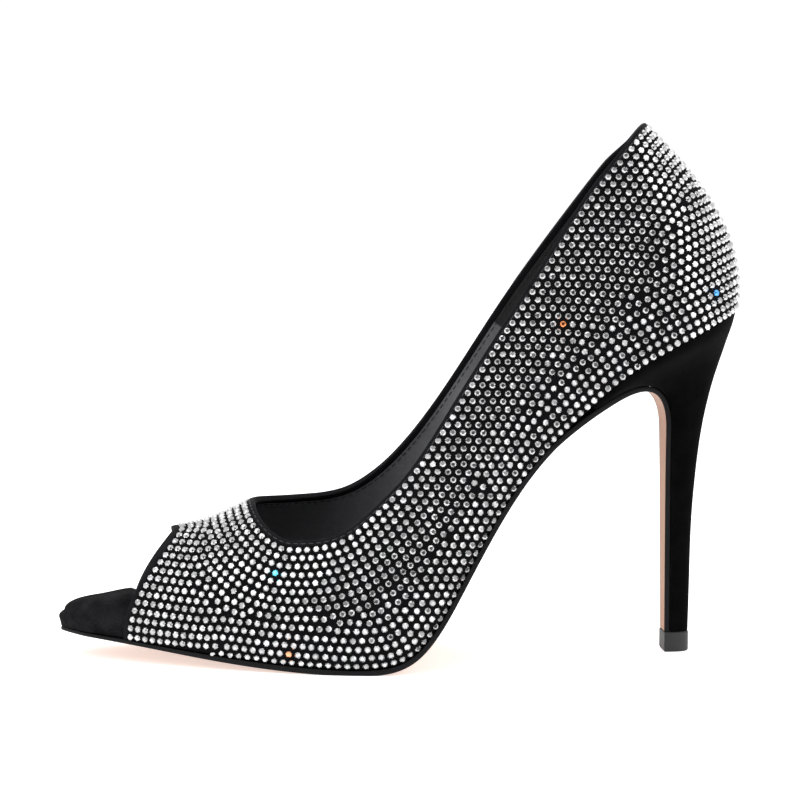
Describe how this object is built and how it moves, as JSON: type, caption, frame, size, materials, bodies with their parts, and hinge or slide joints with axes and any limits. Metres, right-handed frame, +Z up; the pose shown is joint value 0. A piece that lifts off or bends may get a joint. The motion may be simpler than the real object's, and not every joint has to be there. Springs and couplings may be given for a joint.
{
  "type": "peep toe pump",
  "caption": "Women's left peep toe pump: stone-covered shell with an almond open toe and a deep curved collar, on a thin sole with a high arch and a slim stiletto heel.",
  "frame": {"origin": "on the floor, under the middle of the shoe's box", "axes": "the toe points to -X and the heel to +X, the outer (lateral) side of the foot is -Y, +Z is up from the floor the shoe stands on"},
  "size_m": [0.206, 0.0786, 0.1607],
  "materials": {
    "crystal_fabric": "black suede closely set with round clear stones",
    "binding": "plain black suede edge",
    "suede": "matt black suede cover",
    "sole_leather": "smooth nude leather underneath, edges stained black",
    "top_piece": "matt dark grey"
  },
  "bodies": {
    "root": {"upper": "crystal_fabric", "topline_binding": "binding", "peep_binding": "binding", "insole": "suede", "outsole": "sole_leather", "heel": "suede", "heel_tip": "top_piece"}
  },
  "joints": []
}
